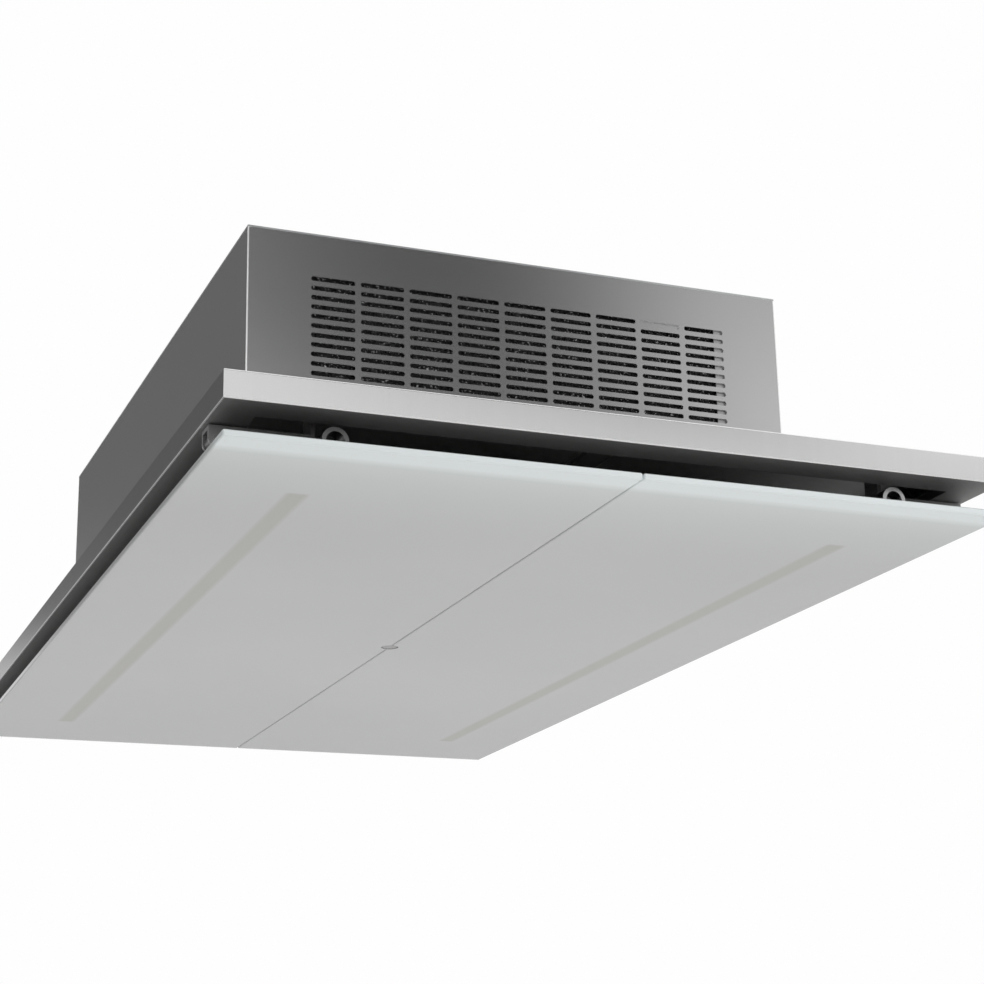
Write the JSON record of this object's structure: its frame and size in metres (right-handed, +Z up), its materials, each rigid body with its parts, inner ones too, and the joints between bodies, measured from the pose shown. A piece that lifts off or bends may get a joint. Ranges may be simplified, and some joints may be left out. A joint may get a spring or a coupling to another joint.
{
  "type": "ceiling range hood",
  "caption": "Ceiling-mounted recirculating range hood: slotted steel housing on a flat rimmed tray, with hinged white glass panels and edge suction.",
  "frame": {"origin": "centre of the housing's upper face, which meets the ceiling, and of its four fixing holes", "axes": "+Z up into the ceiling, +Y along the hood's length, +X across it"},
  "size_m": [0.5, 0.9, 0.2047],
  "materials": {
    "brushed_steel": "fine brushed stainless sheet",
    "dark_steel": "grey painted sheet",
    "galvanised_steel": "bright galvanised sheet",
    "zinc_steel": "zinc-plated steel",
    "polished_steel": "polished plate",
    "white_glass": "toughened glass, painted white on its upper face",
    "aluminium": "satin anodised",
    "mesh": "expanded mesh",
    "opal": "opal diffuser",
    "circuit_board": "coated circuit board",
    "magnet": "nickel-plated magnet",
    "soft_grey": "clear grey silicone",
    "black_rubber": "matt rubber",
    "black_plastic": "fine-textured moulding",
    "smoked_lens": "dark infrared lens",
    "charcoal": "bound charcoal granules",
    "motor_grey": "cast housing",
    "pale_plastic": "pale moulding"
  },
  "bodies": {
    "hood": {"cable_grommet": "black_rubber", "cassette_channels": "galvanised_steel", "catch_brackets": "dark_steel", "catch_magnets": "magnet", "centre_rail": "dark_steel", "charcoal_frame_far": "black_plastic", "charcoal_frame_near": "black_plastic", "charcoal_media_far": "charcoal", "charcoal_media_near": "charcoal", "control_board": "circuit_board", "control_box": "pale_plastic", "control_lid": "pale_plastic", "deck_plate": "dark_steel", "deck_screws": "zinc_steel", "filter_frame_left": "aluminium", "filter_frame_right": "aluminium", "filter_ledges": "dark_steel", "filter_mesh_left": "mesh", "filter_mesh_right": "mesh", "hinge_brackets": "zinc_steel", "hinge_pins": "polished_steel", "inlet_ring": "black_plastic", "latch_keeper": "dark_steel", "latch_spring_left": "zinc_steel", "latch_spring_right": "zinc_steel", "led_driver": "pale_plastic", "motor_bearing": "zinc_steel", "motor_body": "motor_grey", "motor_mounts": "black_rubber", "partition_tray": "galvanised_steel", "receiver_body": "black_plastic", "receiver_lens": "smoked_lens", "retaining_clips": "galvanised_steel", "rim_frame": "brushed_steel", "scroll_cover": "black_plastic", "scroll_housing": "black_plastic", "side_panel_left": "brushed_steel", "side_panel_right": "brushed_steel", "terminal_block": "pale_plastic", "top_plate": "galvanised_steel", "vent_panel_far": "brushed_steel", "vent_panel_near": "brushed_steel"},
    "panel_left": {"glass_panel_left": "white_glass", "light_channel_left": "aluminium", "light_board_left": "circuit_board", "light_diffuser_left": "opal", "strike_plates_left": "zinc_steel", "corner_buffers_left": "soft_grey", "hinge_leaves_left": "polished_steel"},
    "panel_right": {"glass_panel_right": "white_glass", "light_channel_right": "aluminium", "light_board_right": "circuit_board", "light_diffuser_right": "opal", "strike_plates_right": "zinc_steel", "corner_buffers_right": "soft_grey", "hinge_leaves_right": "polished_steel"},
    "rotor": {"impeller": "black_plastic", "motor_shaft": "zinc_steel"},
    "latch_left": {"filter_latch_left": "black_plastic"},
    "latch_right": {"filter_latch_right": "black_plastic"}
  },
  "joints": [
    {"name": "panel_left_hinge", "type": "hinge", "parent": "hood", "child": "panel_left", "pos_m": [-0.243, 0, -0.19185], "axis": [0, 1, 0], "range_deg": [0, 90]},
    {"name": "panel_right_hinge", "type": "hinge", "parent": "hood", "child": "panel_right", "pos_m": [0.243, 0, -0.19185], "axis": [0, -1, 0], "range_deg": [0, 90]},
    {"name": "impeller_spin", "type": "hinge", "parent": "hood", "child": "rotor", "pos_m": [0.012, 0.042, -0.09], "axis": [0, 0, 1], "continuous": true},
    {"name": "latch_left_slide", "type": "slide", "parent": "hood", "child": "latch_left", "axis": [-1, 0, 0], "range_m": [0, 0.0055], "stiffness_N_per_m": 300, "springref_m": -0.01, "deforming": ["latch_spring_left"]},
    {"name": "latch_right_slide", "type": "slide", "parent": "hood", "child": "latch_right", "axis": [1, 0, 0], "range_m": [0, 0.0055], "stiffness_N_per_m": 300, "springref_m": -0.01, "deforming": ["latch_spring_right"]}
  ]
}
